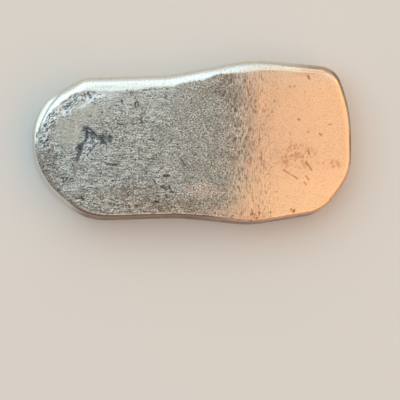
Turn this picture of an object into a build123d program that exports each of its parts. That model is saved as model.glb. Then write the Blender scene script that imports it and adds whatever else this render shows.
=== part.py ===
from build123d import *
from math import atan, cos, degrees, radians, sin, tan
import os

# A hand-poured silver bar, one solid piece of metal, lying on its flat mould side.
# Millimetres. X runs along the bar, Y across it from front to back, Z up out of the poured face.
# Seen from above the bar is like a shoe sole: a narrow part on the left, a wide part on the right.
# The origin is on the resting face, under the middle of the bar.

# Overall length and the height of the poured face above the resting face at either end
length = 56.0
left_height = 7.5
right_height = 6.85

# Narrow part: distance of its long sides from the axis, at its outer corners
narrow_back = 11.25
narrow_front = 13.65

# Waist: where the long sides bend out towards the wide part
waist_back_x = -4.2
waist_back = 11.75
waist_back_radius = 23.0
waist_front_x = -2.2
waist_front = 13.2
waist_front_radius = 53.0

# Wide part: the two bulges, one on each long side
crest_back_x = 10.4
crest_back = 14.6
crest_back_radius = 30.0
crest_front_x = 10.3
crest_front = 14.6
crest_front_radius = 22.0

# Left end: a blunt round nose between two slanting flanks
nose_back = 6.15
nose_back_radius = 9.5
nose_front = 5.75
nose_front_radius = 12.5
flank_back_run = 8.7
flank_back_radius = 3.6
flank_front_run = 9.2
flank_front_radius = 10.0

# Right end: a nearly straight edge between a tight back corner and a wide front corner
toe_back = 5.5
toe_back_radius = 26.0
toe_front = 5.85
toe_front_radius = 9.8
corner_back_run = 2.7
corner_back = 13.2
corner_back_radius = 4.5
corner_front_run = 5.2
corner_front = 12.6
corner_front_radius = 7.1

# Section: round lower edge, wall leaning in a little on the left and front, and a poured shoulder
# that is wide along the back and narrow along the front
base_edge_radius = 0.8
lean_left = 0.35
lean_right = 0.1
lean_front = 0.4
lean_back = 0.1
shoulder_height = 1.5
shoulder_back = 1.8
shoulder_front = 0.45
shoulder_left = 1.0
shoulder_right = 1.0
base_edge_steps = 3
shoulder_steps = 6

# How much of a side the arcs at its two ends may use up
side_share = 0.98


def plan_corners():
    """Corners of the plan outline, clockwise from the left end, each with the radius of its arc."""
    left = -length / 2
    right = length / 2
    return [
        (left, nose_back, nose_back_radius),
        (left + flank_back_run, narrow_back, flank_back_radius),
        (waist_back_x, waist_back, waist_back_radius),
        (crest_back_x, crest_back, crest_back_radius),
        (right - corner_back_run, corner_back, corner_back_radius),
        (right, toe_back, toe_back_radius),
        (right, -toe_front, toe_front_radius),
        (right - corner_front_run, -corner_front, corner_front_radius),
        (crest_front_x, -crest_front, crest_front_radius),
        (waist_front_x, -waist_front, waist_front_radius),
        (left + flank_front_run, -narrow_front, flank_front_radius),
        (left, -nose_front, nose_front_radius),
    ]


def fitted_radii(points, radii):
    """Radii of the arcs, made smaller where a side is too short for the arcs at its two ends."""
    count = len(points)
    sides = [points[(i + 1) % count] - points[i] for i in range(count)]
    turns = [sides[i - 1].get_angle(sides[i]) for i in range(count)]
    reaches = [radii[i] * tan(radians(turns[i] / 2)) for i in range(count)]
    used = [reaches[i] + reaches[(i + 1) % count] for i in range(count)]
    room = [min(1, side_share * sides[i].length / used[i]) for i in range(count)]
    return [radii[i] * min(room[i - 1], room[i]) for i in range(count)]


def plan_outline():
    """The outline at its widest, just above the lower edge, as straight sides and tangent arcs."""
    corners = plan_corners()
    points = [Vector(x, y) for x, y, _ in corners]
    radii = fitted_radii(points, [radius for _, _, radius in corners])
    return Wire(FilletPolyline(*points, radius=radii, close=True).edges())


def drawn_in(left, right, front, back):
    """How far an outline is drawn in all round, and how far it then slides, for these widths."""
    inset = (left + right + front + back) / 4
    return inset, (left - right) / 2, (front - back) / 2


def level(outline, inset, slide_x, slide_y, height, tilt=0):
    """The outline drawn in, slid sideways and laid at a height, tipped down to the right by tilt."""
    face = Face(outline)
    if inset > 0:
        face = Face(outline.offset_2d(-inset))
    return (Pos(slide_x, slide_y, height) * Rot(0, tilt, 0) * face).outer_wire()


def silver_bar():
    outline = plan_outline()
    tilt = degrees(atan((left_height - right_height) / length))
    face_height = (left_height + right_height) / 2
    rim_height = face_height - shoulder_height
    lean, lean_x, lean_y = drawn_in(lean_left, lean_right, lean_front, lean_back)
    shoulder, shoulder_x, shoulder_y = drawn_in(
        shoulder_left, shoulder_right, shoulder_front, shoulder_back
    )

    levels = []
    for step in range(base_edge_steps + 1):
        angle = radians(90 * step / base_edge_steps)
        inset = base_edge_radius * (1 - sin(angle))
        levels.append(level(outline, inset, 0, 0, base_edge_radius * (1 - cos(angle))))
    for step in range(shoulder_steps + 1):
        angle = radians(90 * step / shoulder_steps)
        part_way = 1 - cos(angle)
        inset = lean + shoulder * part_way
        slide_x = lean_x + shoulder_x * part_way
        slide_y = lean_y + shoulder_y * part_way
        height = rim_height + shoulder_height * sin(angle)
        levels.append(level(outline, inset, slide_x, slide_y, height, tilt))

    bar = Solid.make_loft(levels, ruled=True)
    middle = bar.bounding_box().center()
    return Pos(-middle.X, -middle.Y, 0) * bar


os.makedirs("parts", exist_ok=True)
export_step(silver_bar(), "parts/silver_bar.step")
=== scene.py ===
import itertools
import math

import bmesh
import bpy
import numpy as np
from mathutils import Matrix, Vector


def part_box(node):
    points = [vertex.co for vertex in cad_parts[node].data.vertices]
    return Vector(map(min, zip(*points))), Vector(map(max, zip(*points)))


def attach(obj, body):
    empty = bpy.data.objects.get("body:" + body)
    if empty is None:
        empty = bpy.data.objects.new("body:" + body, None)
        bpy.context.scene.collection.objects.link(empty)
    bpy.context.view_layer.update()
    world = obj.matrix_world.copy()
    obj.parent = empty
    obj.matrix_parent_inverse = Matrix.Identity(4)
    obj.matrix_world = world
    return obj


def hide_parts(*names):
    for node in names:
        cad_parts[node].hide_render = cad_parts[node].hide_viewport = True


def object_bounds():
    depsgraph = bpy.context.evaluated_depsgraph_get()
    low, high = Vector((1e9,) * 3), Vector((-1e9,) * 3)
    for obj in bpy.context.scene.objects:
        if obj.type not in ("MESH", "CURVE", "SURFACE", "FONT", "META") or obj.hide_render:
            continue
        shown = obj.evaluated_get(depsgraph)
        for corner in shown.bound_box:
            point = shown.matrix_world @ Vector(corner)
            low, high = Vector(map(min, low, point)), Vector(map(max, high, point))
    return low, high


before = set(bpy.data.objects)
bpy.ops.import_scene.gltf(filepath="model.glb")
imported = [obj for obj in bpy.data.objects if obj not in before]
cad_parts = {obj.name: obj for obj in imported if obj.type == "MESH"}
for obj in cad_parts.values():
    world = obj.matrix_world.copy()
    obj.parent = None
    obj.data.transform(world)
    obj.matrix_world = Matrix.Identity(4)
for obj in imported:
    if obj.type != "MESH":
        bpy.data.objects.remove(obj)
cad_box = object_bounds()

# The bar is worked in millimetres, in the frame's axes, and its mesh is written in metres.
# A pair of limits gives where a rise or a fall starts and where it ends. Depth is measured down
# from the plane of the poured face. A draw squeezes noise along x, y and z: below 1 draws it out.
MM = 0.001
BAR = "silver_bar"

# Mesh: coarse cells under the bar, half of that on its walls, a quarter on the poured side
COARSE_CELL = 0.58
UNDERSIDE_NORMAL = -0.7
POURED_DEPTH = 2.0
SOFTENING = 0.5
SOFTENING_PASSES = 3

# What counts as flat, as the face and as the underside, by the height of the normal
FLAT_NORMAL = 0.9995
FACE_NORMALS = (0.8, 0.97)
UNDERSIDE_NORMALS = (0.6, 0.95)

# The poured face is crowned a little, with its ridge on a slanting line that wanders
RIDGE_BACK = 9.6
RIDGE_FRONT = 7.6
RIDGE_BOW = 1.5
RIDGE_ROUND = 2.2
CROWN_SLOPE_LEFT = 0.01
CROWN_SLOPE_RIGHT = 0.024
CROWN_LIFT = 0.12
CROWN_DEPTHS = (0.5, 4.0)

# Past the ridge the face is smooth, from a soft border that wanders
SMOOTH_SOFTNESS = 3.2
SMOOTH_WANDER, SMOOTH_WANDER_PITCH, SMOOTH_WANDER_DRAW = 0.9, 4.0, (0.4, 1.0, 1.0)
SMOOTH_CALM = 0.72

# Heights are half of the rise from hollow to crest, pitches the width of a hollow and a crest
SWELL_HEIGHT, SWELL_PITCH = 0.018, 9.0
MOTTLE_HEIGHT, MOTTLE_PITCH = 0.009, 1.5
FROST_HEIGHT, FROST_PITCH, FROST_DRAW = 0.004, 0.42, (0.62, 1.0, 1.0)
RIPPLE_HEIGHT, RIPPLE_PITCH, RIPPLE_DRAW = 0.0024, 0.42, (1.0, 0.16, 1.0)
GLITTER_HEIGHT, GLITTER_PITCH = 0.026, 0.62
SHOULDER_HEIGHT, SHOULDER_PITCH = 0.005, 0.7
LAP_HEIGHT, LAP_PITCH, LAP_DRAW = 0.035, 1.0, (0.2, 0.2, 1.0)
DRAG_HEIGHT, DRAG_PITCH, DRAG_DRAW = 0.012, 0.7, (1.0, 1.0, 0.15)
MOULD_HEIGHT, MOULD_PITCH = 0.014, 0.8
RAGGED_PITCH, FINE_RAGGED_PITCH, PATCH_EDGE_PITCH = 0.9, 0.35, 1.3

# The noise of each form has its own seed
SEEDS = {
    "mould border": 3, "ragged": 5, "fine ragged": 7, "smooth part": 11, "swell": 21, "mottle": 31,
    "frost": 35, "ripple": 41, "glitter": 51, "shoulder": 53, "laps": 61, "drag": 65, "mould": 67,
    "fine pits": 71, "plain patches": 81, "grey patches": 82, "brown patches": 83,
    "brown mottle": 84, "stain flecks": 85, "white mottle": 86, "grey mottle": 87,
    "pink patches": 89,
}

# Where the fine ripples start, are full, start to end, and end
RIPPLE_ZONE = (3.0, 8.5, 11.0, 17.0)

# The skin that froze on the mould starts lower down on the front and at the front left
MOULD_START = 0.3
MOULD_START_FRONT = 1.0
MOULD_START_RIGHT = -0.15
MOULD_BORDER = 0.3
MOULD_WANDER, MOULD_WANDER_PITCH, MOULD_WANDER_DRAW = 0.12, 1.6, (0.35, 0.35, 1.0)
MOULD_RELIEF_DEPTHS = (0.3, 2.4)
FRONT_LEFT_X = (-21.0, -16.0)
FRONT_LEFT_Y = (-2.0, 2.8)
FRONT_Y = (6.0, 9.0)
FRONT_END_X = (4.0, 10.0)
RIGHT_END_X = (20.0, 25.0)

# The bright poured shoulder: its wavy border on the face, from the left end along the back. The
# face starts to fall at this line, ahead of the round shoulder of the solid.
SHOULDER_LINE = [
    (-28.4, -1.2), (-27.5, 0.6), (-26.8, 2.2), (-25.4, 4.4), (-23.1, 6.6), (-20.6, 8.4),
    (-18.9, 8.7), (-16.8, 8.5), (-14.3, 8.55), (-12.6, 8.8), (-9.8, 9.0), (-5.7, 9.5),
    (-3.6, 9.5), (-2.2, 10.1), (1.3, 10.6), (3.9, 11.7), (8.6, 12.0), (14.4, 12.5),
    (17.9, 12.6), (21.4, 12.8), (28.4, 13.4),
]
SHOULDER_FALL = 0.09
SHOULDER_DROP = 0.085
SHOULDER_DEPTHS = (0.5, 3.0)
SHOULDER_RAGGED, SHOULDER_FINE_RAGGED = 0.28, 0.12
SHOULDER_BORDER = (-0.12, 0.22)

# Far right the border of the shoulder is wide and soft, and its fall slight
FAR_RIGHT_X = (5.0, 19.0)
FAR_RIGHT_BORDER = (-1.0, 0.9)
FAR_RIGHT_FALL = -0.7
SHOULDER_END_X = (16.5, 22.0)
SHOULDER_END_BORDER, SHOULDER_END_RAGGED = (-1.5, -0.6), 0.2
SHOULDER_END_DEPTHS = (1.0, 2.2)

# The lip outside the shoulder at the left end, fullest at its middle, and the crease above it
LIP_MIDDLE = (-26.9, 4.6)
LIP_REACH = (2.0, 6.6)
LIP_LIFT = 0.75
LIP_RISE, LIP_FALL = (0.15, 1.3), (1.3, 2.6)
CREASE = [
    (-23.4, 8.2), (-24.0, 7.4), (-25.0, 6.2), (-25.9, 4.6), (-26.6, 3.0), (-27.0, 1.6),
]
CREASE_WIDTH = 0.28
CREASE_DEPTH = 0.06
# How dark the painted shade in the crease is
CREASE_PAINTED_SHADE = 0.6

# At the front left the face runs out almost to the wall
FULL_EDGE_SHARE = 0.9
FULL_EDGE_MOST = 1.5
FULL_EDGE_DEPTHS = (1.3, 3.0)

# Marks on the face, by their places in plan: lines with their widths, and ovals given by their
# middles and two half widths
STAIN_LINES = [
    (0.4, [(-19.2, 2.35), (-18.5, 2.45), (-18.0, 2.1), (-17.4, 1.5), (-16.8, 0.8)]),
    (0.34, [(-19.4, 1.9), (-18.6, 1.9), (-18.1, 1.4)]),
    (0.5, [(-18.6, 2.2), (-18.6, 1.2), (-18.9, 0.2), (-19.4, -0.5)]),
    (0.62, [(-19.4, -0.4), (-19.8, -1.3), (-20.0, -2.2), (-20.3, -3.1)]),
]
STAIN_SPOTS = [
    (-16.1, 0.75, 0.8, 0.62), (-14.8, 0.53, 0.72, 0.62), (-19.9, -1.2, 0.6, 0.85),
    (-15.7, -0.1, 0.8, 0.35), (-17.6, 0.9, 0.5, 0.5),
]
STAIN_EDGE, STAIN_RAGGED, STAIN_MOTTLE = (0.3, 0.8), 0.25, 0.2
STAIN_FLECKS = [
    (-17.9, -0.3, 1.3, 1.5), (-16.4, -0.4, 0.9, 0.6), (-18.4, -2.0, 1.0, 0.9),
    (-5.2, 7.9, 0.9, 0.6),
]
STAIN_FLECKS_SHARE = 0.9
GLITTER_LINE = [
    (-25.9, -0.4), (-25.7, 0.9), (-25.0, 3.0), (-24.0, 4.6), (-22.2, 6.0), (-20.1, 7.1),
    (-18.3, 7.8), (-16.9, 8.2),
]
GLITTER_WIDTH, GLITTER_RAGGED = 2.2, 0.3
GLITTER_SLANT = 40
WHITE_FLECK_LINE = [
    (-23.1, 5.1), (-21.5, 5.2), (-20.1, 5.7), (-18.7, 6.5), (-17.5, 7.6), (-16.4, 8.1),
    (-14.8, 7.9),
]
WHITE_FLECK_WIDTH, WHITE_FLECK_RAGGED, WHITE_MOTTLE_PITCH = 1.3, 0.25, 0.5
PALE_STEP, PALE_STEP_RAGGED = 0.045, 0.3
PALE_STEP_SLOPE = (-0.45, 0.45)
PALE_STEP_START_X, PALE_STEP_END_X = (-25.5, -23.0), (-15.5, -13.0)
PLAIN_PATCHES = [(-21.8, 1.6, 2.6, 2.4), (-18.6, 5.0, 3.4, 1.9)]
GREY_PATCHES = [(-24.8, -2.6, 1.6, 1.2), (-9.4, 8.3, 1.9, 0.8), (-13.4, -3.9, 1.2, 0.5)]
GREY_MOTTLE_PITCH = 0.6
BROWN_PATCHES = [
    (-12.3, -9.8, 5.0, 2.4), (5.4, 9.4, 2.4, 2.6), (18.0, -2.4, 3.6, 2.4),
    (25.0, -3.9, 1.0, 0.9), (-4.0, -11.2, 6.0, 1.6), (-26.0, -3.8, 2.6, 5.4),
]
BROWN_MOTTLE_PITCH = 0.34
PINK_PATCHES = [(7.0, -12.9, 5.4, 1.8), (1.5, -8.6, 3.0, 1.4)]
PATCH_EDGE, PATCH_RAGGED = (0.6, 1.3), 0.45
BAND_EDGE = (0.3, 0.7)
MOTTLE_GAPS = (-0.15, 0.35)

# Parts of the face that differ a little in colour, by their limits
LINES_END_X = (-9.0, 2.0)
BROWN_BAND_Y = (-12.0, -6.0)
FROST_BAND_Y = (2.5, 8.5)
FROST_BAND_END_X = (-8.0, 2.0)
SIDE_BAND_RAGGED = 0.8
PALE_MARGIN = (-4.5, -0.3)
# Towards the front the smooth part takes a painted warm highlight
PAINTED_WARM_HIGHLIGHT_Y = (2.0, 9.0)
LEFT_MARGIN_SLOPE, LEFT_MARGIN_RAGGED = (0.02, 0.12), 0.04
LEFT_MARGIN_FADE, LEFT_MARGIN_FADE_Y = 0.5, (-3.0, 1.0)

# The front and right rims, brown from tarnish and painted dark reflection, a painted warm highlight
# on the right rim, and the worn edge above the front one, brightened by a painted highlight
FRONT_START_X, FRONT_RAGGED = (-22.5, -18.5), 0.8
FRONT_RIM_SLOPE = (0.07, 0.26)
FRONT_RIGHT_X, FRONT_RIGHT_RAGGED = (1.0, 8.0), 1.2
LOW_WALL_DEPTHS = (0.9, 1.7)
BURR_NORMAL, BURR_WIDTH = 0.985, 0.02
BURR_SLOPE, BURR_END_X, BURR_GAPS = (0.0, 0.1), (4.0, 9.0), (-0.7, 0.3)
RIGHT_RIM_FRONT, RIGHT_RIM_RAGGED = 0.45, 0.08
RIGHT_RIM_SLOPE, RIGHT_RIM_SOFTER = (0.06, 0.22), 0.4
RIGHT_RIM_X = (8.0, 13.0)
# The pale cream of the raised lip at the left end is a painted highlight, as strong as its lift
LIP_HIGHLIGHT_LIFTS = (0.05, 0.3)

# Pits and slits, each a short hollow: x and y of its two ends, width and depth
HOLLOWS = [
    (-16.0, 5.1, -16.0, 5.1, 0.4, 0.07), (-12.6, 7.4, -12.5, 6.6, 0.24, 0.06),
    (-10.3, 6.7, -10.1, 5.8, 0.26, 0.1), (-9.9, 7.0, -9.6, 6.2, 0.26, 0.1),
    (-7.2, 0.4, -7.0, 0.2, 0.4, 0.07), (-15.3, -3.8, -13.6, -4.0, 0.34, 0.06),
    (-22.9, -6.1, -22.6, -6.7, 0.3, 0.09), (-22.2, -6.4, -21.9, -6.2, 0.28, 0.09),
    (-21.6, -6.6, -21.3, -6.3, 0.26, 0.08), (-20.7, -9.7, -19.1, -9.9, 0.34, 0.08),
    (-19.6, -9.5, -19.4, -10.1, 0.3, 0.08), (-9.3, 3.9, -9.0, 3.2, 0.34, 0.07),
    (-5.3, -6.0, -4.6, -5.9, 0.54, 0.12), (-5.8, -7.8, -5.5, -8.0, 0.46, 0.12),
    (-5.2, -8.1, -4.9, -8.3, 0.48, 0.12), (-4.4, -7.8, -4.3, -8.1, 0.44, 0.12),
    (-4.1, -8.6, -3.9, -8.8, 0.48, 0.12), (-5.0, -9.3, -4.8, -9.6, 0.46, 0.1),
    (-6.8, -10.3, -6.4, -10.4, 0.42, 0.09), (-5.8, -4.7, -5.8, -4.7, 0.3, 0.07),
    (-7.5, 1.8, -7.3, 1.9, 0.3, 0.06), (-7.3, -6.4, -6.6, -7.4, 0.26, 0.06),
    (-2.4, -3.0, -1.6, -4.2, 0.26, 0.05), (20.1, 11.5, 20.3, 11.0, 0.3, 0.12),
    (16.9, 9.7, 16.9, 9.6, 0.32, 0.07), (17.7, 9.7, 17.7, 9.5, 0.3, 0.07),
    (19.5, 8.7, 19.6, 8.6, 0.26, 0.05), (14.1, 7.2, 14.1, 7.0, 0.32, 0.07),
    (13.7, 5.2, 13.7, 5.2, 0.34, 0.07), (18.3, 3.9, 18.5, 3.8, 0.38, 0.08),
    (19.9, 1.7, 20.1, 1.7, 0.32, 0.07), (22.1, 1.3, 22.4, 1.1, 0.36, 0.09),
    (16.7, 1.6, 16.9, 1.2, 0.28, 0.05), (23.7, 3.0, 24.1, 3.0, 0.28, 0.06),
    (16.9, -11.8, 16.9, -12.0, 0.34, 0.1), (17.4, -12.0, 17.3, -12.3, 0.38, 0.12),
    (17.3, -12.8, 17.6, -12.8, 0.34, 0.1), (11.2, -12.3, 11.4, -12.5, 0.34, 0.08),
    (13.2, -12.4, 13.3, -12.5, 0.3, 0.08), (10.0, -12.6, 10.3, -12.7, 0.34, 0.09),
]
SCRATCHES = [
    (15.5, -4.9, 18.1, -6.5, 0.22, 0.035), (19.6, -3.6, 20.6, -5.0, 0.24, 0.045),
    (19.6, -6.0, 20.1, -6.7, 0.22, 0.04), (19.2, -7.1, 19.6, -7.6, 0.2, 0.035),
    (20.0, -1.5, 20.2, -2.3, 0.26, 0.045), (11.7, -1.8, 11.7, -3.7, 0.2, 0.025),
    (11.7, -3.7, 12.3, -4.5, 0.2, 0.025),
]
# Dark notches in the outer edge: one in the lip, the others along the front
NOTCHES = [
    (-27.5, 1.9, -27.4, 1.1, 0.42, 0.1), (9.85, -14.0, 9.95, -14.2, 0.46, 0.12),
    (12.4, -13.8, 12.7, -13.9, 0.3, 0.07), (14.0, -13.6, 14.1, -13.8, 0.38, 0.09),
    (18.2, -12.9, 18.6, -12.9, 0.36, 0.08), (10.6, -13.4, 10.9, -13.3, 0.3, 0.07),
]
NOTCH_DEPTHS, NOTCH_RAGGED = (0.35, 0.8), 0.3
HOLLOW_RAGGED = 0.05

# How much of the depth of a mark is cut into the mesh, and how dark it is
PIT_RELIEF = 0.3
SMOOTH_PIT_RELIEF = 0.15
SCRATCH_RELIEF = 0.35
SCRATCH_DARKNESS = 3.2
NOTCH_RELIEF = 0.15
MARK_REACH = 4.0
MARK_NORMAL = -0.2
MARK_DARK_SHAPE = (0.1, 0.7)
DARK_DEPTH, SMOOTH_DARK_DEPTH = 0.06, 0.06

# Tiny pits, scattered over the face
FINE_PITS = 260
FINE_PIT_X, FINE_PIT_Y = (-27, 27), (-13, 13)
FINE_PIT_TURN, FINE_PIT_REACH = (-0.6, 0.6), (0.0, 0.35)
FINE_PIT_WIDTH, FINE_PIT_DEPTH = (0.18, 0.32), (0.02, 0.06)
FEW_PITS_X, FEW_PITS_SHARE = 10, 0.15


def ease(value, low, high):
    """0 below low, 1 above high, and a smooth rise between them."""
    part = np.clip((value - low) / (high - low), 0.0, 1.0)
    return part * part * (3.0 - 2.0 * part)


def fade(value, low, high):
    """1 below low, 0 above high, and a smooth fall between them."""
    return 1.0 - ease(value, low, high)


HASH_PRIMES = np.array([73856093, 19349663, 83492791])
HASH_SIZE = 8192


def cast_noise(points, pitch, seed):
    """Smooth seeded noise between -1 and 1 at points given in millimetres."""
    cells = points / pitch
    cell = np.floor(cells).astype(np.int64)
    part = cells - cell
    weight = part**3 * (part * (part * 6.0 - 15.0) + 10.0)
    table = np.random.default_rng(seed).uniform(-1.0, 1.0, HASH_SIZE)
    total = np.zeros(len(points))
    for corner in itertools.product((0, 1), repeat=3):
        scaled = (cell + np.array(corner)) * HASH_PRIMES
        index = (scaled[:, 0] ^ scaled[:, 1] ^ scaled[:, 2]) % HASH_SIZE
        share = np.prod(np.where(corner, weight, 1.0 - weight), axis=1)
        total += share * table[index]
    return total


# What a sum of layers is divided by, to stay for the most part between -1 and 1
LAYERED_REACH = 1.5


def layered_noise(points, pitch, seed, layers=3):
    """Noise with finer and weaker layers added to it."""
    total = np.zeros(len(points))
    for layer in range(layers):
        total += cast_noise(points, pitch / 2**layer, seed + layer) / 2**layer
    return total / LAYERED_REACH


# Mesh

def apply_modifiers(piece):
    shaped = bpy.data.meshes.new_from_object(
        piece.evaluated_get(bpy.context.evaluated_depsgraph_get())
    )
    piece.modifiers.clear()
    old = piece.data
    piece.data = shaped
    bpy.data.meshes.remove(old)


def draw_onto(piece, solid):
    """Lays every point of the piece on the exact shape of the solid."""
    wrap = piece.modifiers.new("onto the solid", "SHRINKWRAP")
    wrap.target = solid
    wrap.wrap_method = "NEAREST_SURFACEPOINT"
    apply_modifiers(piece)


def split_cells(piece, belongs):
    """Splits in four every cell of the piece for which belongs(centre, normal) holds."""
    grid = bmesh.new()
    grid.from_mesh(piece.data)
    grid.normal_update()
    chosen = [f for f in grid.faces if belongs(f.calc_center_median(), f.normal)]
    edges = list({e for f in chosen for e in f.edges})
    bmesh.ops.subdivide_edges(grid, edges=edges, cuts=1, use_grid_fill=True)
    grid.to_mesh(piece.data)
    grid.free()


def even_bar_mesh():
    """The bar's solid as even cells, finest on the poured side, with softened edges."""
    cad_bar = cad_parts[BAR]
    poured_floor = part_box(BAR)[1].z - POURED_DEPTH * MM
    piece = bpy.data.objects.new("poured_bar", cad_bar.data.copy())
    bpy.context.collection.objects.link(piece)
    remesh = piece.modifiers.new("even cells", "REMESH")
    remesh.mode = "VOXEL"
    remesh.voxel_size = COARSE_CELL * MM
    apply_modifiers(piece)
    draw_onto(piece, cad_bar)
    split_cells(piece, lambda centre, normal: normal.z > UNDERSIDE_NORMAL)
    draw_onto(piece, cad_bar)
    split_cells(piece, lambda centre, normal: centre.z > poured_floor)
    draw_onto(piece, cad_bar)
    soften = piece.modifiers.new("soften", "SMOOTH")
    soften.factor = SOFTENING
    soften.iterations = SOFTENING_PASSES
    apply_modifiers(piece)
    return piece


def read_points(mesh):
    """Points of the mesh in millimetres, and their normals."""
    flat = np.zeros(len(mesh.vertices) * 3)
    mesh.vertices.foreach_get("co", flat)
    points = flat.reshape(-1, 3) / MM
    mesh.vertices.foreach_get("normal", flat)
    return points, flat.reshape(-1, 3).copy()


def write_points(mesh, points):
    mesh.vertices.foreach_set("co", (points * MM).ravel())
    mesh.update()


def store(mesh, name, values):
    """A value at every point of the mesh, for the material to read."""
    attribute = mesh.attributes.new(name, "FLOAT", "POINT")
    attribute.data.foreach_set("value", values.astype(np.float32))


# Distances in plan, and the shapes drawn with them

def from_line(at, start, end):
    """Distance in plan from every point to the straight line between start and end."""
    start = np.array(start)
    way = np.array(end) - start
    along = np.clip((at - start) @ way / max(way @ way, 1e-9), 0.0, 1.0)
    return np.linalg.norm(at - start - along[:, None] * way, axis=1)


def from_path(at, path):
    return np.min([from_line(at, a, b) for a, b in zip(path, path[1:])], axis=0)


def patch(at, spot, edge_noise):
    """1 inside an oval spot, and 0 outside it, with a ragged edge."""
    x, y, half_x, half_y = spot
    reach = np.hypot((at[:, 0] - x) / half_x, (at[:, 1] - y) / half_y)
    return fade(reach + PATCH_RAGGED * edge_noise, *PATCH_EDGE)


def hollow(at, mark, ragged):
    """Depth of a mark, and its shape: 1 in its middle and 0 well outside it."""
    x0, y0, x1, y1, width, depth = mark
    away = np.maximum(from_line(at, (x0, y0), (x1, y1)) + HOLLOW_RAGGED * ragged, 0.0)
    return depth, np.exp(-((away / (0.5 * width)) ** 2))


class Skin:
    """The plain skin of the bar, point by point: depth, zones from 0 to 1, ragged noise."""

    def __init__(self, mesh):
        self.points, self.normals = read_points(mesh)
        self.plan = self.points[:, :2]
        self.x, self.y, self.z = self.points.T
        self.depth = self.face_plane() - self.z
        self.face = ease(self.normals[:, 2], *FACE_NORMALS)
        self.front_left = fade(self.x, *FRONT_LEFT_X) * fade(self.y, *FRONT_LEFT_Y)
        self.far_right = ease(self.x, *FAR_RIGHT_X)
        start = self.mould_side_start()
        self.mould_side = ease(self.depth, start, start + MOULD_BORDER)
        self.on_mould = ease(self.depth, *MOULD_RELIEF_DEPTHS)
        self.underside = ease(-self.normals[:, 2], *UNDERSIDE_NORMALS)
        self.smooth = self.smooth_part()
        self.ragged = self.noise(RAGGED_PITCH, "ragged")
        self.fine_ragged = self.noise(FINE_RAGGED_PITCH, "fine ragged", layers=1)
        self.past_shoulder = self.past_shoulder_line()
        self.calm = self.inside_shoulder()

    def noise(self, pitch, form, draw=(1.0, 1.0, 1.0), layers=3):
        """Layered noise over the skin, from the seed of a form."""
        return layered_noise(self.points * draw, pitch, SEEDS[form], layers)

    def face_plane(self):
        """Height of the poured face's plane, carried on over the whole bar."""
        flat = self.normals[:, 2] > FLAT_NORMAL
        return np.polyval(np.polyfit(self.x[flat], self.z[flat], 1), self.x)

    def past_ridge(self):
        """Distance past the slanting ridge line of the face, towards the right end."""
        middle = (RIDGE_BACK + RIDGE_FRONT) / 2
        width = (cad_box[1].y - cad_box[0].y) / MM
        across = self.y / width
        return self.x - middle - (RIDGE_BACK - RIDGE_FRONT) * across + RIDGE_BOW * (2 * across) ** 2

    def mould_side_start(self):
        """Depth at which the skin that froze on the mould starts, deepest along the front."""
        wander = self.noise(MOULD_WANDER_PITCH, "mould border", MOULD_WANDER_DRAW) * MOULD_WANDER
        right = ease(self.x, *RIGHT_END_X)
        front = ease(-self.y, *FRONT_Y) * fade(self.x, *FRONT_END_X)
        lower = MOULD_START_FRONT * np.maximum(self.front_left, front) + MOULD_START_RIGHT * right
        return MOULD_START + lower + wander

    def past_shoulder_line(self):
        """Distance past the border of the poured shoulder, less than 0 on the face side."""
        x, y = np.array(SHOULDER_LINE).T
        away = from_path(self.plan, SHOULDER_LINE)
        return np.where(self.y > np.interp(self.x, x, y), away, -away)

    def inside_shoulder(self):
        """1 on the face, and 0 on the poured shoulder and outside it."""
        ragged = SHOULDER_RAGGED * self.ragged + SHOULDER_FINE_RAGGED * self.fine_ragged
        start, full = (
            SHOULDER_BORDER[side] + FAR_RIGHT_BORDER[side] * self.far_right for side in (0, 1)
        )
        return fade(self.past_shoulder + ragged, start, full)

    def smooth_part(self):
        """The smoother, brighter part of the face, past the ridge."""
        wander = self.noise(SMOOTH_WANDER_PITCH, "smooth part", SMOOTH_WANDER_DRAW)
        past = self.past_ridge() + SMOOTH_WANDER * wander
        return ease(past, -SMOOTH_SOFTNESS, SMOOTH_SOFTNESS)


# Relief of the skin, in millimetres: the first four functions lift it straight up, and the others
# that give a height lift it along its normal

def crown(skin):
    past = skin.past_ridge()
    bend = RIDGE_ROUND * np.logaddexp(past / RIDGE_ROUND, 0.0)
    sink = CROWN_SLOPE_RIGHT * bend + CROWN_SLOPE_LEFT * (bend - past)
    return (CROWN_LIFT - sink) * fade(skin.depth, *CROWN_DEPTHS)


def shoulder_fall(skin):
    """The face falls away from the border of the poured shoulder."""
    fall = np.clip(SHOULDER_FALL * skin.past_shoulder, 0.0, SHOULDER_DROP)
    return -fall * (1.0 + FAR_RIGHT_FALL * skin.far_right) * fade(skin.depth, *SHOULDER_DEPTHS)


def lip(skin):
    """How far the outer edge of the left end is raised, to a fuller lip outside its crease."""
    away = np.hypot(skin.x - LIP_MIDDLE[0], skin.y - LIP_MIDDLE[1])
    fullness = fade(away, *LIP_REACH)
    return LIP_LIFT * fullness * ease(skin.depth, *LIP_RISE) * fade(skin.depth, *LIP_FALL)


def full_edge(skin):
    """How far the front left edge is raised, where the face runs out almost to the wall."""
    share = FULL_EDGE_SHARE * skin.front_left * fade(skin.depth, *FULL_EDGE_DEPTHS)
    return share * np.minimum(skin.depth, FULL_EDGE_MOST)


def frozen_face(skin):
    """Swells, mottle and fine frost of the open surface, calmer on the smooth part."""
    rough = 1.0 - SMOOTH_CALM * skin.smooth
    swell = skin.noise(SWELL_PITCH, "swell") * SWELL_HEIGHT
    mottle = skin.noise(MOTTLE_PITCH, "mottle") * MOTTLE_HEIGHT * rough
    frost = skin.noise(FROST_PITCH, "frost", FROST_DRAW, layers=1) * FROST_HEIGHT * rough
    return skin.face * (swell + mottle + frost)


def ripple_zone(skin):
    start, full, falling, end = RIPPLE_ZONE
    return ease(skin.x, start, full) * fade(skin.x, falling, end)


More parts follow.
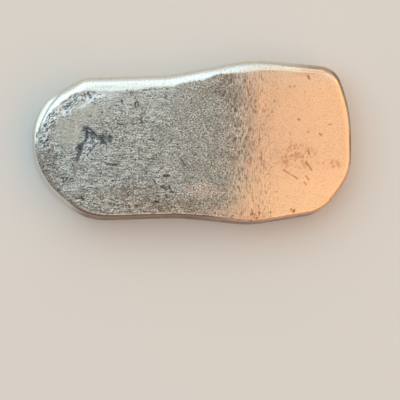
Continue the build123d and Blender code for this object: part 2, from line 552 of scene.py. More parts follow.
def cooling_ripples(skin):
    """Fine uneven ripples that run across the bar just before the smooth part."""
    waves = skin.noise(RIPPLE_PITCH, "ripple", RIPPLE_DRAW, layers=2)
    return skin.face * ripple_zone(skin) * waves * RIPPLE_HEIGHT


def band(skin, path, width, ragged):
    """1 along a path, and 0 outside its width, with a ragged edge."""
    start, end = BAND_EDGE
    return fade(from_path(skin.plan, path) + ragged, start * width, end * width)


def glitter_zone(skin):
    """The coarse, sparkling band inside the shoulder of the narrow end."""
    return band(skin, GLITTER_LINE, GLITTER_WIDTH, GLITTER_RAGGED * skin.ragged)


def glitter_relief(skin):
    crystals = skin.noise(GLITTER_PITCH, "glitter", layers=2)
    return glitter_zone(skin) * crystals * GLITTER_HEIGHT


def pale_step(skin):
    """The sparkling band lies a little lower than the face, behind a ragged step."""
    x, y = np.array(WHITE_FLECK_LINE).T
    past = skin.y - np.interp(skin.x, x, y) + PALE_STEP_RAGGED * skin.ragged
    ends = ease(skin.x, *PALE_STEP_START_X) * fade(skin.x, *PALE_STEP_END_X)
    return -PALE_STEP * ends * ease(past, *PALE_STEP_SLOPE)


def shoulder_relief(skin):
    """Faint unevenness of the bright poured shoulder."""
    above_mould = 1.0 - skin.mould_side
    return above_mould * skin.noise(SHOULDER_PITCH, "shoulder") * SHOULDER_HEIGHT


def mould_relief(skin):
    """Lap lines, drag marks and fine texture of the skin that froze against the mould."""
    laps = skin.noise(LAP_PITCH, "laps", LAP_DRAW, layers=2) * LAP_HEIGHT
    drag = skin.noise(DRAG_PITCH, "drag", DRAG_DRAW, layers=2) * DRAG_HEIGHT
    texture = skin.noise(MOULD_PITCH, "mould", layers=2) * MOULD_HEIGHT
    walls = (laps + drag) * (1.0 - skin.underside)
    most = LAP_HEIGHT + DRAG_HEIGHT + MOULD_HEIGHT
    return skin.on_mould * (walls + texture - most)


# Marks cut into the skin

def fine_pits():
    """Tiny pits scattered over the face, fewer on the smooth part."""
    draw = np.random.default_rng(SEEDS["fine pits"])
    pits = []
    for _ in range(FINE_PITS):
        x, y = draw.uniform(*FINE_PIT_X), draw.uniform(*FINE_PIT_Y)
        turn, reach = draw.uniform(*FINE_PIT_TURN), draw.uniform(*FINE_PIT_REACH)
        width, depth = draw.uniform(*FINE_PIT_WIDTH), draw.uniform(*FINE_PIT_DEPTH)
        if x < FEW_PITS_X or draw.uniform() < FEW_PITS_SHARE:
            end_x, end_y = x + reach * math.cos(turn), y + reach * math.sin(turn)
            pits.append((x, y, end_x, end_y, width, depth))
    return pits


def dents(skin, marks):
    """Depth of the marks at every point, and how dark they are, from 0 to 1."""
    deep = np.zeros(len(skin.points))
    dark = np.zeros(len(skin.points))
    for mark in marks:
        x, y = mark[:2]
        near = np.flatnonzero(np.hypot(skin.x - x, skin.y - y) < MARK_REACH)
        near = near[skin.normals[near, 2] > MARK_NORMAL]
        depth, shape = hollow(skin.plan[near], mark, skin.fine_ragged[near])
        deep[near] = np.maximum(deep[near], depth * shape)
        full_depth = DARK_DEPTH + SMOOTH_DARK_DEPTH * skin.smooth[near]
        darkness = ease(shape, *MARK_DARK_SHAPE) * np.minimum(1.0, depth / full_depth)
        dark[near] = np.maximum(dark[near], darkness)
    return deep, dark


def marks_on(skin):
    """How deep the marks are cut into the skin, and how dark they are, from 0 to 1."""
    crease = [(*a, *b, CREASE_WIDTH, CREASE_DEPTH) for a, b in zip(CREASE, CREASE[1:])]
    on_edge = fade(skin.depth + NOTCH_RAGGED * skin.ragged, *NOTCH_DEPTHS)
    soft = 1.0 - (1.0 - SMOOTH_PIT_RELIEF) * skin.smooth
    pits, dark_pits = dents(skin, HOLLOWS + fine_pits())
    scratches, dark_scratches = dents(skin, SCRATCHES)
    notches, dark_notches = dents(skin, NOTCHES)
    creases, crease_painted_shade = dents(skin, crease)
    cut = pits * skin.calm * soft * PIT_RELIEF + scratches * soft * SCRATCH_RELIEF
    cut = cut + notches * on_edge * NOTCH_RELIEF + creases
    dark = {
        # The hollows take the dark of the pits and the painted shade in the crease
        "hollows": np.maximum(dark_pits * skin.calm, CREASE_PAINTED_SHADE * crease_painted_shade),
        "scratches": np.minimum(1.0, SCRATCH_DARKNESS * dark_scratches),
        "notches": dark_notches * on_edge,
    }
    return cut, dark


def shaped_points(skin, cut):
    """The points of the skin with its relief on it."""
    face = frozen_face(skin) + cooling_ripples(skin) + glitter_relief(skin) + pale_step(skin)
    relief = skin.calm * face + (1.0 - skin.calm) * shoulder_relief(skin)
    relief += mould_relief(skin) - cut
    points = skin.points + skin.normals * relief[:, None]
    points[:, 2] += crown(skin) + shoulder_fall(skin) + lip(skin) + full_edge(skin)
    return points


# Zones of colour, each from 0 to 1 at every point

def stain(skin):
    """A dark branched stain near the narrow end."""
    away = np.min([from_path(skin.plan, line) / width for width, line in STAIN_LINES], axis=0)
    lines = fade(away + STAIN_RAGGED * skin.fine_ragged, *STAIN_EDGE)
    spots = np.max([patch(skin.plan, spot, skin.fine_ragged) for spot in STAIN_SPOTS], axis=0)
    mottle = 1.0 - STAIN_MOTTLE + STAIN_MOTTLE * skin.fine_ragged
    return skin.face * np.maximum(lines, spots) * mottle


def zone_of(skin, spots, form):
    edge = skin.noise(PATCH_EDGE_PITCH, form)
    return skin.face * np.max([patch(skin.plan, spot, edge) for spot in spots], axis=0)


def broken(skin, zone, pitch, form):
    """A zone broken up into mottle, with gaps in it."""
    return zone * ease(skin.noise(pitch, form), *MOTTLE_GAPS)


def white_flecks(skin):
    """Bright flecks along the step beside the sparkling band."""
    white = band(skin, WHITE_FLECK_LINE, WHITE_FLECK_WIDTH, WHITE_FLECK_RAGGED * skin.ragged)
    return skin.face * broken(skin, white, WHITE_MOTTLE_PITCH, "white mottle")


def brown_band(skin):
    """The coarse part of the face is browner towards the front."""
    return fade(skin.y + SIDE_BAND_RAGGED * skin.ragged, *BROWN_BAND_Y) * (1.0 - skin.smooth)


def frost_band(skin):
    """The narrow part of the face is paler towards the back."""
    back = ease(skin.y + SIDE_BAND_RAGGED * skin.ragged, *FROST_BAND_Y)
    return skin.face * back * fade(skin.x, *FROST_BAND_END_X)


def left_margin(skin):
    """The outermost part of the face at the left end, darker and pinker where it slopes off to the
    left.
    """
    slope = -skin.normals[:, 0] + LEFT_MARGIN_RAGGED * skin.ragged
    less = LEFT_MARGIN_FADE * ease(skin.y, *LEFT_MARGIN_FADE_Y)
    return ease(slope, *LEFT_MARGIN_SLOPE) * skin.front_left * (1.0 - less)


def shoulder_end(skin):
    """The least bright end of the poured shoulder, at the back right corner."""
    past = skin.past_shoulder + SHOULDER_END_RAGGED * skin.ragged
    inner = ease(past, *SHOULDER_END_BORDER)
    return inner * ease(skin.x, *SHOULDER_END_X) * fade(skin.depth, *SHOULDER_END_DEPTHS)


def front_side(skin):
    """Where the front is brown, from tarnish and painted dark reflection: it fades out towards the
    left end.
    """
    return ease(skin.x + FRONT_RAGGED * skin.ragged, *FRONT_START_X)


def front_rim(skin):
    rim = ease(-skin.normals[:, 1], *FRONT_RIM_SLOPE)
    return front_side(skin) * rim * (1.0 - skin.underside)


def front_burr_and_highlight(skin):
    """The worn and broken edge of the face above the brown rim, made bright by a painted highlight.
    """
    edge = np.exp(-(((skin.normals[:, 2] - BURR_NORMAL) / BURR_WIDTH) ** 2))
    edge *= ease(-skin.normals[:, 1], *BURR_SLOPE)
    left_part = fade(skin.x, *BURR_END_X)
    return front_side(skin) * left_part * edge * ease(skin.ragged, *BURR_GAPS)


def right_rim(skin):
    """The outer edge of the right end and of the front corner beside it, where a painted warm
    highlight goes, with painted shade on its lower skin.
    """
    outward = skin.normals[:, 0] - RIGHT_RIM_FRONT * skin.normals[:, 1]
    outward += RIGHT_RIM_RAGGED * skin.ragged * skin.on_mould
    start, full = RIGHT_RIM_SLOPE
    rim = ease(outward, start, full + RIGHT_RIM_SOFTER * skin.on_mould)
    return rim * ease(skin.x, *RIGHT_RIM_X) * (1.0 - skin.underside)


def zones(skin):
    """The zones of colour that the material reads, by name."""
    flecks = STAIN_FLECKS_SHARE * zone_of(skin, STAIN_FLECKS, "stain flecks")
    grey = zone_of(skin, GREY_PATCHES, "grey patches")
    brown = zone_of(skin, BROWN_PATCHES, "brown patches")
    return {
        "smooth_part": skin.smooth,
        "mould_side": skin.mould_side,
        "rippled": ripple_zone(skin),
        "drawn_out": skin.face * fade(skin.x, *LINES_END_X),
        "glitter": np.maximum(glitter_zone(skin), flecks),
        "white_flecks": white_flecks(skin),
        "brown_band": brown_band(skin),
        "frost": frost_band(skin),
        "stain": stain(skin),
        "plain_patch": zone_of(skin, PLAIN_PATCHES, "plain patches"),
        "grey_patch": broken(skin, grey, GREY_MOTTLE_PITCH, "grey mottle"),
        "brown_patch": broken(skin, brown, BROWN_MOTTLE_PITCH, "brown mottle"),
        "pink_patch": zone_of(skin, PINK_PATCHES, "pink patches"),
        "poured_shoulder": 1.0 - skin.calm,
        "far_right": skin.far_right,
        "pale_margin": skin.smooth * ease(skin.past_shoulder, *PALE_MARGIN),
        # A painted warm highlight over the front of the smooth part
        "painted_warm_highlight": skin.smooth * ease(-skin.y, *PAINTED_WARM_HIGHLIGHT_Y),
        "shoulder_end": shoulder_end(skin),
        "left_margin": left_margin(skin),
        "front_burr_and_highlight": front_burr_and_highlight(skin),
        "low_wall": ease(skin.depth, *LOW_WALL_DEPTHS),
        "front_right": ease(skin.x + FRONT_RIGHT_RAGGED * skin.ragged, *FRONT_RIGHT_X),
        "front_rim": front_rim(skin),
        "right_rim": right_rim(skin),
        # The pale cream of the lip is a painted highlight
        "lip": ease(lip(skin), *LIP_HIGHLIGHT_LIFTS),
    }


def poured_bar():
    piece = even_bar_mesh()
    mesh = piece.data
    skin = Skin(mesh)
    cut, dark = marks_on(skin)
    write_points(mesh, shaped_points(skin, cut))
    for name, values in (zones(skin) | dark).items():
        store(mesh, name, values)
    for polygon in mesh.polygons:
        polygon.use_smooth = True
    mesh.materials.clear()
    mesh.materials.append(poured_silver())
    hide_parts(BAR)
    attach(piece, "root")


# Node boards

class Board:
    """Lays nodes on a node tree in reading order and joins them as they are laid."""

    def __init__(self, tree):
        self.tree = tree
        self.count = 0

    def lay(self, kind, sockets, **settings):
        made = self.tree.nodes.new(kind)
        made.location = (-2200 + 220 * (self.count % 10), 900 - 260 * (self.count // 10))
        self.count += 1
        for name, value in settings.items():
            setattr(made, name, value)
        for name, value in sockets.items():
            self.fill(made.inputs[name], value)
        return made

    def fill(self, socket, value):
        """Joins a socket to another one, or sets its value, where a colour may leave out alpha."""
        if isinstance(value, bpy.types.NodeSocket):
            self.tree.links.new(value, socket)
        elif socket.type == "RGBA":
            socket.default_value = (*value[:3], 1.0)
        else:
            socket.default_value = value

    def math(self, operation, *values):
        return self.lay("ShaderNodeMath", dict(enumerate(values)), operation=operation).outputs[0]

    def times(self, value, by):
        return self.math("MULTIPLY", value, by)

    def times_plus(self, value, by, added):
        return self.math("MULTIPLY_ADD", value, by, added)

    def scaled(self, vector, by):
        sockets = {0: vector, 1: by}
        return self.lay("ShaderNodeVectorMath", sockets, operation="MULTIPLY").outputs[0]

    def ramp(self, value, low, high, to_low=0.0, to_high=1.0):
        sockets = {"Value": value, "From Min": low, "From Max": high}
        sockets |= {"To Min": to_low, "To Max": to_high}
        made = self.lay("ShaderNodeMapRange", sockets, interpolation_type="SMOOTHSTEP")
        return made.outputs["Result"]

    def tint(self, part, low, high, blend="MIX"):
        """One colour laid over another, as much of it as part says."""
        sockets = {0: part, 6: low, 7: high}
        return self.lay("ShaderNodeMix", sockets, data_type="RGBA", blend_type=blend).outputs[2]

    def blend(self, part, low, high):
        return self.lay("ShaderNodeMix", {0: part, 2: low, 3: high}).outputs[0]

    def noise(self, place, pitch, detail, rough, bend):
        sockets = {"Vector": place, "Scale": pitch, "Detail": detail, "Roughness": rough}
        return self.lay("ShaderNodeTexNoise", sockets | {"Distortion": bend}).outputs[0]

    def zone(self, name):
        return self.lay("ShaderNodeAttribute", {}, attribute_name=name).outputs["Fac"]

    def group(self, group, sockets):
        return self.lay("ShaderNodeGroup", sockets, node_tree=group).outputs[0]


def new_group(name, inputs, outputs):
    """A node group with named sockets: returns it, its board, its inputs and its output node."""
    group = bpy.data.node_groups.new(name, "ShaderNodeTree")
    for label, kind, value in inputs:
        made = group.interface.new_socket(label, in_out="INPUT", socket_type=kind)
        if value is not None:
            made.default_value = value
    for label, kind in outputs:
        group.interface.new_socket(label, in_out="OUTPUT", socket_type=kind)
    board = Board(group)
    start = board.lay("NodeGroupInput", {})
    end = group.nodes.new("NodeGroupOutput")
    end.location = (400, 0)
    return group, board, start.outputs, end


FLOAT, VECTOR, COLOR = "NodeSocketFloat", "NodeSocketVector", "NodeSocketColor"

# Inside each noise texture: its detail, its roughness, and the values that count as -1 and 1
GRAIN_DETAIL, GRAIN_ROUGHNESS = 1.5, 0.6
GRAIN_LOW, GRAIN_HIGH = 0.27, 0.73


def cast_grain():
    """Fine frozen grain at any pitch, drawn out along any axis. Height is from -1 to 1."""
    group, board, given, end = new_group(
        "cast grain",
        [("Place", VECTOR, None), ("Grains per mm", FLOAT, 2.5), ("Draw", VECTOR, (1, 1, 1)),
         ("Bend", FLOAT, 0.6)],
        [("Height", FLOAT)],
    )
    drawn = board.scaled(given["Place"], given["Draw"])
    per_mm, bend = given["Grains per mm"], given["Bend"]
    noise = board.noise(drawn, per_mm, GRAIN_DETAIL, GRAIN_ROUGHNESS, bend)
    sockets = {"Value": noise, "From Min": GRAIN_LOW, "From Max": GRAIN_HIGH}
    height = board.lay("ShaderNodeMapRange", sockets | {"To Min": -1.0, "To Max": 1.0})
    board.tree.links.new(height.outputs["Result"], end.inputs["Height"])
    return group


def toned_metal():
    """Metal that is darker in the hollows of a height and brighter on its crests."""
    group, board, given, end = new_group(
        "toned metal",
        [("Metal", COLOR, (0.7, 0.7, 0.7, 1)), ("Hollow tone", COLOR, (0.4, 0.4, 0.4, 1)),
         ("Crest tone", COLOR, (0.95, 0.95, 0.95, 1)), ("Height", FLOAT, 0.0),
         ("Strength", FLOAT, 1.0)],
        [("Color", COLOR)],
    )
    low = board.times(board.ramp(given["Height"], 0.0, -1.0), given["Strength"])
    high = board.times(board.ramp(given["Height"], 0.0, 1.0), given["Strength"])
    darker = board.tint(low, given["Metal"], given["Hollow tone"], "MULTIPLY")
    brighter = board.tint(high, darker, given["Crest tone"])
    board.tree.links.new(brighter, end.inputs["Color"])
    return group


# Poured silver

# Each grain of the skin: grains to a millimetre, draw and bend
GRAINS = {
    "pebble": (4.7, (0.76, 1.12, 1.0), 0.6),
    "lines": (3.4, (0.32, 1.3, 1.0), 0.6),
    "streaks": (4.4, (1.1, 0.27, 1.2), 0.4),
    "crystals": (3.8, (0.5, 1.1, 1.0), 0.7),
    "laps": (1.7, (0.35, 0.35, 1.3), 1.2),
}
LINES_SHARE = 0.65
STREAKS_SHARE = 0.9
PEBBLE_SHARE, RIPPLED_PEBBLE_SHARE = 1.0, 0.5
LAPS_SHARE = 0.6

# Broad soft clouds in the tone: how many to a millimetre, their detail, roughness and bend. Four
# limits give a range, and the range that it is turned into.
CLOUDS = (0.42, 3.0, 0.6, 0.4)
CLOUD_CONTRAST = (0.32, 0.66, 0.9, 1.7)
CLOUD_DARK = (0.6, 0.38)
CLOUD_TARNISH = (0.3, 0.72, 1.0, 0.74)

# Tones of the face, of its crests and of its hollows, on the coarse part and on the smooth one. The
# peach of the smooth part is a painted warm reflection of the lamp over a slight toning of the
# silver.
FACE_SILVER_AND_WARM_REFLECTION = ((0.53, 0.53, 0.505), (0.92, 0.8, 0.69))
CREST_SILVER_AND_WARM_REFLECTION = ((0.88, 0.89, 0.87), (0.98, 0.88, 0.78))
HOLLOW_SILVER_AND_WARM_REFLECTION = ((0.22, 0.22, 0.23), (0.42, 0.27, 0.18))
GRAIN_STRENGTH = (0.94, 0.27)
RIPPLED_STRENGTH = 0.42
CLOUD_TONE = (0.76, 0.75, 0.73)
RIPPLED_TONE = (0.86, 0.82, 0.78)
MIDDLE_TONE = (0.91, 0.935, 0.92)

# Tones laid over the face one after the other: zone, tone, share, and how it is laid
FACE_TONES = [
    ("brown_band", (0.97, 0.86, 0.76), 1.0, "MULTIPLY"),
    ("frost", (0.8, 0.85, 0.84), 0.5, "MIX"),
    ("pale_margin", (0.86, 0.86, 0.85), 0.8, "MIX"),
    # A painted warm highlight over the front of the smooth part
    ("painted_warm_highlight", (0.99, 0.87, 0.72), 1.0, "MIX"),
    ("pink_patch", (0.84, 0.62, 0.52), 0.5, "MIX"),
]
MARK_TONES = [
    ("brown_patch", (0.66, 0.53, 0.44), 0.8, "MULTIPLY"),
    ("grey_patch", (0.5, 0.5, 0.54), 0.8, "MULTIPLY"),
    ("left_margin", (0.74, 0.655, 0.62), 1.0, "MULTIPLY"),
    ("stain", (0.13, 0.155, 0.2), 1.0, "MULTIPLY"),
]
SCRATCH_TONE = (0.5, 0.33, 0.23)
EDGE_TONES = [
    # The worn front edge, brightened by a painted highlight
    ("front_burr_and_highlight", (0.92, 0.82, 0.76), 1.0, "MIX"),
    # The pale cream of the lip is a painted highlight
    ("lip", (0.96, 0.95, 0.86), 1.0, "MIX"),
    ("notches", (0.26, 0.16, 0.11), 1.0, "MULTIPLY"),
]

# The sparkling band: metal, hollows, crests and height of its crystals
SPARKLE, SPARKLE_HOLLOW, SPARKLE_CREST = (0.52, 0.58, 0.6), (0.22, 0.25, 0.27), (0.98, 0.99, 0.99)
SPARKLE_HEIGHT, SPARKLE_SHARE = 3.0, 0.95
WHITE_FLECK, WHITE_FLECK_CRYSTALS = (0.97, 0.98, 0.98), (-0.9, -0.2)
PLAIN, PLAIN_SHARE = (0.66, 0.61, 0.52), 0.5

# The poured shoulder, on the left and far right, and its end. Its far right tone is a painted warm
# reflection over the silver.
SHOULDER_SILVER_AND_WARM_REFLECTION = ((0.92, 0.92, 0.9), (0.86, 0.76, 0.63))
SHOULDER_HOLLOW, SHOULDER_CREST = (0.6, 0.6, 0.58), (0.98, 0.96, 0.91)
SHOULDER_STRENGTH = (0.5, 0.8)
SHOULDER_END_TONE = (0.85, 0.68, 0.57)

# The skin that froze on the mould, beside the coarse part and the smooth part, and its brown rims:
# the right one with a painted warm highlight and painted shade, and the front one on the left and
# on the right, above and below, brown from tarnish with painted dark reflection
MOULD_SILVER = ((0.8, 0.75, 0.67), (0.78, 0.7, 0.62))
MOULD_HOLLOW, MOULD_CREST = (0.6, 0.57, 0.53), (0.92, 0.9, 0.86)
MOULD_STRENGTH = 0.5
# A painted warm highlight on the right rim, and painted shade mottled with tarnish on its lower
# skin
RIGHT_RIM_WARM_HIGHLIGHT = (0.97, 0.86, 0.68)
RIGHT_EDGE_SHADE_AND_TARNISH = (0.42, 0.3, 0.22)
FRONT_UPPER_TARNISH_AND_SHADE = ((0.34, 0.205, 0.16), (0.8, 0.55, 0.43))
FRONT_LOWER_SHADE_AND_TARNISH = ((0.26, 0.175, 0.14), (0.44, 0.31, 0.235))
FRONT_LAP_TONE, FRONT_LAPS = (0.66, 0.62, 0.6), (0.3, -0.8)

FACE_ROUGHNESS = (0.31, 0.19)
SHOULDER_ROUGHNESS = 0.27
MOULD_ROUGHNESS = (-1.0, 1.0, 0.44, 0.32)

# Heights of the bump in millimetres
COARSE_BUMP, SMOOTH_BUMP = 0.0012, 0.0005
SHOULDER_BUMP_LESS = -0.85
MOULD_BUMP = 0.006


class PouredSilver(Board):
    """The bar's material, node by node: its grain and zones, then colour, roughness and bump."""

    def __init__(self, tree):
        super().__init__(tree)
        self.grain, self.toned = cast_grain(), toned_metal()
        place = self.lay("ShaderNodeTexCoord", {}).outputs["Object"]
        self.place = self.scaled(place, (1 / MM, 1 / MM, 1 / MM))
        self.smooth = self.zone("smooth_part")
        self.coarse = self.math("SUBTRACT", 1.0, self.smooth)
        self.mould = self.zone("mould_side")
        self.shoulder = self.zone("poured_shoulder")
        self.far_right = self.zone("far_right")
        self.drawn_out = self.zone("drawn_out")
        self.rippled = self.zone("rippled")
        self.pebble = self.grained("pebble", self.place)
        self.crystals = self.grained("crystals", self.slanted_place())
        self.clouds = self.noise(self.place, *CLOUDS)
        self.tarnish = self.ramp(self.clouds, *CLOUD_TARNISH)
        self.relief = self.face_grain()
        self.lapped = self.mould_grain()
        # The hollows of the smooth part carry the painted warm reflection too
        self.hollow_tone = self.tint(self.smooth, *HOLLOW_SILVER_AND_WARM_REFLECTION)

    def grained(self, name, place):
        per_mm, draw, bend = GRAINS[name]
        sockets = {"Place": place, "Grains per mm": per_mm, "Draw": draw, "Bend": bend}
        return self.group(self.grain, sockets)

    def slanted_place(self):
        turn = (0, 0, -math.radians(GLITTER_SLANT))
        made = self.lay("ShaderNodeMapping", {"Vector": self.place, "Rotation": turn})
        return made.outputs[0]

    def face_grain(self):
        """Pebbles all over the face, with lines on its left and streaks across its ripples."""
        lines, streaks = (self.grained(name, self.place) for name in ("lines", "streaks"))
        lines_share = self.times(self.drawn_out, LINES_SHARE)
        pebble_share = self.blend(self.rippled, PEBBLE_SHARE, RIPPLED_PEBBLE_SHARE)
        streaks_share = self.times(self.rippled, STREAKS_SHARE)
        relief = self.times(lines, lines_share)
        relief = self.times_plus(self.pebble, pebble_share, relief)
        return self.times_plus(streaks, streaks_share, relief)

    def mould_grain(self):
        laps = self.grained("laps", self.place)
        pebble = self.times(self.pebble, LAPS_SHARE)
        return self.times_plus(laps, LAPS_SHARE, pebble)

    def tone(self, metal, hollow, crest, height, strength):
        sockets = {"Metal": metal, "Hollow tone": hollow, "Crest tone": crest}
        return self.group(self.toned, sockets | {"Height": height, "Strength": strength})

    def lay_tones(self, metal, tones):
        for zone, tone, share, blend in tones:
            part = self.times(self.zone(zone), share)
            metal = self.tint(part, metal, tone, blend)
        return metal

    def face(self):
        """The coarse dull part of the face and the smooth bright one, with the grain in them. The
        peach of the smooth part is a painted warm reflection over a slight toning.
        """
        smooth, coarse = self.smooth, self.coarse
        metal = self.tint(smooth, *FACE_SILVER_AND_WARM_REFLECTION)
        cloudy = self.times(self.ramp(self.clouds, *CLOUD_DARK), coarse)
        metal = self.tint(cloudy, metal, CLOUD_TONE, "MULTIPLY")
        ripples = self.times(self.rippled, coarse)
        metal = self.tint(ripples, metal, RIPPLED_TONE, "MULTIPLY")
        before_ripples = self.math("SUBTRACT", coarse, self.rippled)
        past_lines = self.math("SUBTRACT", 1.0, self.drawn_out)
        middle = self.math("MAXIMUM", self.times(before_ripples, past_lines), 0.0)
        metal = self.tint(middle, metal, MIDDLE_TONE, "MULTIPLY")
        metal = self.lay_tones(metal, FACE_TONES)
        crest_tone = self.tint(smooth, *CREST_SILVER_AND_WARM_REFLECTION)
        smooth_ripples = self.times(self.rippled, smooth)
        strength = self.blend(smooth, *GRAIN_STRENGTH)
        strength = self.times_plus(smooth_ripples, RIPPLED_STRENGTH, strength)
        contrast = self.times(self.relief, self.ramp(self.clouds, *CLOUD_CONTRAST))
        return self.tone(metal, self.hollow_tone, crest_tone, contrast, strength)

    def sparkling_band(self, metal):
        height = self.times(self.crystals, SPARKLE_HEIGHT)
        sparkle = self.tone(SPARKLE, SPARKLE_HOLLOW, SPARKLE_CREST, height, 1.0)
        glitter = self.times(self.zone("glitter"), SPARKLE_SHARE)
        metal = self.tint(glitter, metal, sparkle)
        crystals = self.ramp(self.crystals, *WHITE_FLECK_CRYSTALS)
        white = self.times(self.zone("white_flecks"), crystals)
        metal = self.tint(white, metal, WHITE_FLECK)
        plain = self.times(self.zone("plain_patch"), PLAIN_SHARE)
        return self.tint(plain, metal, PLAIN)

    def poured_shoulder(self, metal):
        # On the far right the shoulder's tone is a painted warm reflection
        silver = self.tint(self.far_right, *SHOULDER_SILVER_AND_WARM_REFLECTION)
        strength = self.blend(self.far_right, *SHOULDER_STRENGTH)
        poured = self.tone(silver, SHOULDER_HOLLOW, SHOULDER_CREST, self.pebble, strength)
        return self.tint(self.shoulder, metal, poured)

    def marks(self, metal):
        """Brown and grey patches, the stain, the pits and the scratches."""
        metal = self.lay_tones(metal, MARK_TONES)
        hollows = ("hollows", self.hollow_tone, 1.0, "MULTIPLY")
        scratches = ("scratches", SCRATCH_TONE, 1.0, "MULTIPLY")
        return self.lay_tones(metal, [hollows, scratches])

    def mould_side(self, metal):
        """The walls and the underside, and the brown rims of the front and the right end: tarnish
        with painted dark reflection, and a painted warm highlight on the right rim.
        """
        lapped = self.lapped
        right_rim = self.zone("right_rim")
        # The right rim takes a painted warm highlight
        metal = self.tint(right_rim, metal, RIGHT_RIM_WARM_HIGHLIGHT)
        silver = self.tint(self.smooth, *MOULD_SILVER)
        skin = self.tone(silver, MOULD_HOLLOW, MOULD_CREST, lapped, MOULD_STRENGTH)
        metal = self.tint(self.mould, metal, skin)
        metal = self.tint(self.zone("shoulder_end"), metal, SHOULDER_END_TONE, "MULTIPLY")
        # Painted shade on the lower right rim, mottled by the tarnish clouds
        right_edge_shade = self.times(right_rim, self.mould)
        right_edge_shade = self.times(right_edge_shade, self.tarnish)
        metal = self.tint(right_edge_shade, metal, RIGHT_EDGE_SHADE_AND_TARNISH, "MULTIPLY")
        # The front rim: brown tarnish with painted dark reflection, painted darker still on the low
        # wall
        front_right = self.zone("front_right")
        upper = self.tint(front_right, *FRONT_UPPER_TARNISH_AND_SHADE)
        upper = self.tint(self.ramp(lapped, *FRONT_LAPS), upper, FRONT_LAP_TONE, "MULTIPLY")
        lower = self.tint(front_right, *FRONT_LOWER_SHADE_AND_TARNISH)
        lower = self.tint(self.tarnish, skin, lower, "MULTIPLY")
        front = self.tint(self.zone("low_wall"), upper, lower)
        metal = self.tint(self.zone("front_rim"), metal, front)
        return self.lay_tones(metal, EDGE_TONES)

    def color(self):
        metal = self.poured_shoulder(self.sparkling_band(self.face()))
        return self.mould_side(self.marks(metal))

    def roughness(self):
        rough = self.blend(self.smooth, *FACE_ROUGHNESS)
        rough = self.blend(self.shoulder, rough, SHOULDER_ROUGHNESS)
        return self.blend(self.mould, rough, self.ramp(self.lapped, *MOULD_ROUGHNESS))

    def normal(self):
        most = self.times_plus(self.coarse, COARSE_BUMP, SMOOTH_BUMP)
        height = self.times(self.relief, most)
        less = self.times_plus(self.shoulder, SHOULDER_BUMP_LESS, 1.0)
        height = self.times(height, less)
        laps = self.times(self.lapped, self.mould)
        height = self.times_plus(laps, MOULD_BUMP, height)
        bump = self.lay("ShaderNodeBump", {"Height": height, "Distance": MM, "Strength": 1.0})
        return bump.outputs["Normal"]


def poured_silver():
    material = bpy.data.materials.new("poured silver")
    material.use_nodes = True
    tree = material.node_tree
    shader = tree.nodes["Principled BSDF"]
    shader.inputs["Metallic"].default_value = 1.0
    silver = PouredSilver(tree)
    tree.links.new(silver.color(), shader.inputs["Base Color"])
    tree.links.new(silver.roughness(), shader.inputs["Roughness"])
    tree.links.new(silver.normal(), shader.inputs["Normal"])
    return material


# Studio, in metres

FLOOR_REACH = 3.0
FLOOR_COLOR = (0.8, 0.81, 0.82)
FLOOR_ROUGHNESS = 0.9

ROOM_GLOW = (0.09, 0.09, 0.09)

# Rectangular lamps: name, place, point faced, width, height and how bright each looks mirrored
BAR_PLACE = (0.0, 0.0, 0.0)
SOFTBOXES = [
    ("ceiling panel", (-0.72, 0.25, 1.0), (-0.72, 0.25, 0.0), 1.65, 2.2, (0.41, 0.56, 0.61)),
    ("window", (-0.34, 0.67, 0.66), BAR_PLACE, 1.9, 1.5, (0.6, 0.645, 0.62)),
    ("warm lamp", (0.73, -0.1, 0.7), BAR_PLACE, 1.36, 1.56, (1.03, 0.605, 0.325)),
    ("back card", (0.6, 0.72, 0.5), BAR_PLACE, 0.8, 0.8, (0.6, 0.48, 0.36)),
    ("front right card", (0.42, -0.76, 0.48), BAR_PLACE, 0.9, 0.6, (0.62, 0.43, 0.31)),
    ("left card", (-1.15, -0.3, 0.3), BAR_PLACE, 1.8, 0.56, (0.5, 0.45, 0.39)),
    ("front card", (0.14, -0.8, 0.82), BAR_PLACE, 1.2, 1.15, (0.33, 0.25, 0.21)),
]

CAMERA_PLACE = (-0.03, -0.022, 0.35)
CAMERA_AIM = (0.00095, -0.01016, 0.007)
CAMERA_ROLL = -0.0075
CAMERA_LENS = 178.6
CAMERA_SENSOR = 36.0
CAMERA_NEAR = 0.02


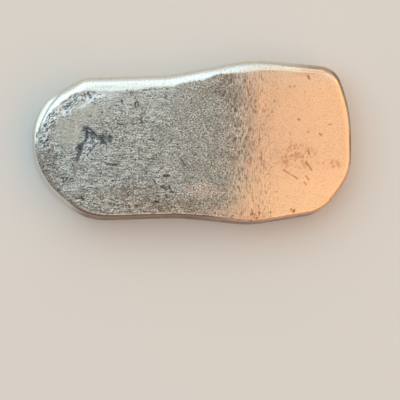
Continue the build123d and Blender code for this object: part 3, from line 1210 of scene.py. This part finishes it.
def plain_material(name, color, roughness):
    material = bpy.data.materials.new(name)
    material.use_nodes = True
    shader = material.node_tree.nodes["Principled BSDF"]
    shader.inputs["Base Color"].default_value = (*color, 1)
    shader.inputs["Roughness"].default_value = roughness
    return material


def floor():
    mesh = bpy.data.meshes.new("floor")
    reach = FLOOR_REACH
    corners = [(-reach, -reach, 0), (reach, -reach, 0), (reach, reach, 0), (-reach, reach, 0)]
    mesh.from_pydata(corners, [], [(0, 1, 2, 3)])
    mesh.materials.append(plain_material("pale floor", FLOOR_COLOR, FLOOR_ROUGHNESS))
    made = bpy.data.objects.new("floor", mesh)
    bpy.context.collection.objects.link(made)


def softbox(name, place, faces, width, height, glow):
    lamp = bpy.data.lights.new(name, "AREA")
    lamp.shape = "RECTANGLE"
    lamp.size = width
    lamp.size_y = height
    brightest = max(glow)
    lamp.color = [c / brightest for c in glow]
    lamp.energy = brightest * math.pi * width * height
    made = bpy.data.objects.new(name, lamp)
    made.location = place
    made.rotation_euler = (Vector(place) - Vector(faces)).to_track_quat("Z", "Y").to_euler()
    made.visible_camera = False
    bpy.context.collection.objects.link(made)


def room_light(glow):
    """Even, dim light from all round."""
    world = bpy.data.worlds.new("room")
    world.use_nodes = True
    world.node_tree.nodes["Background"].inputs["Color"].default_value = (*glow, 1)
    bpy.context.scene.world = world


def camera():
    lens = bpy.data.cameras.new("camera")
    lens.lens = CAMERA_LENS
    lens.sensor_width = CAMERA_SENSOR
    lens.clip_start = CAMERA_NEAR
    made = bpy.data.objects.new("camera", lens)
    made.location = CAMERA_PLACE
    back = (Vector(CAMERA_PLACE) - Vector(CAMERA_AIM)).normalized()
    right = Vector((0, 1, 0)).cross(back).normalized()
    up = back.cross(right)
    turned_right = right * math.cos(CAMERA_ROLL) + up * math.sin(CAMERA_ROLL)
    turned_up = up * math.cos(CAMERA_ROLL) - right * math.sin(CAMERA_ROLL)
    made.rotation_euler = Matrix((turned_right, turned_up, back)).transposed().to_euler()
    bpy.context.collection.objects.link(made)
    bpy.context.scene.camera = made


poured_bar()
floor()
room_light(ROOM_GLOW)
for lamp in SOFTBOXES:
    softbox(*lamp)
camera()

scene = bpy.context.scene
scene.view_settings.view_transform = "Standard"
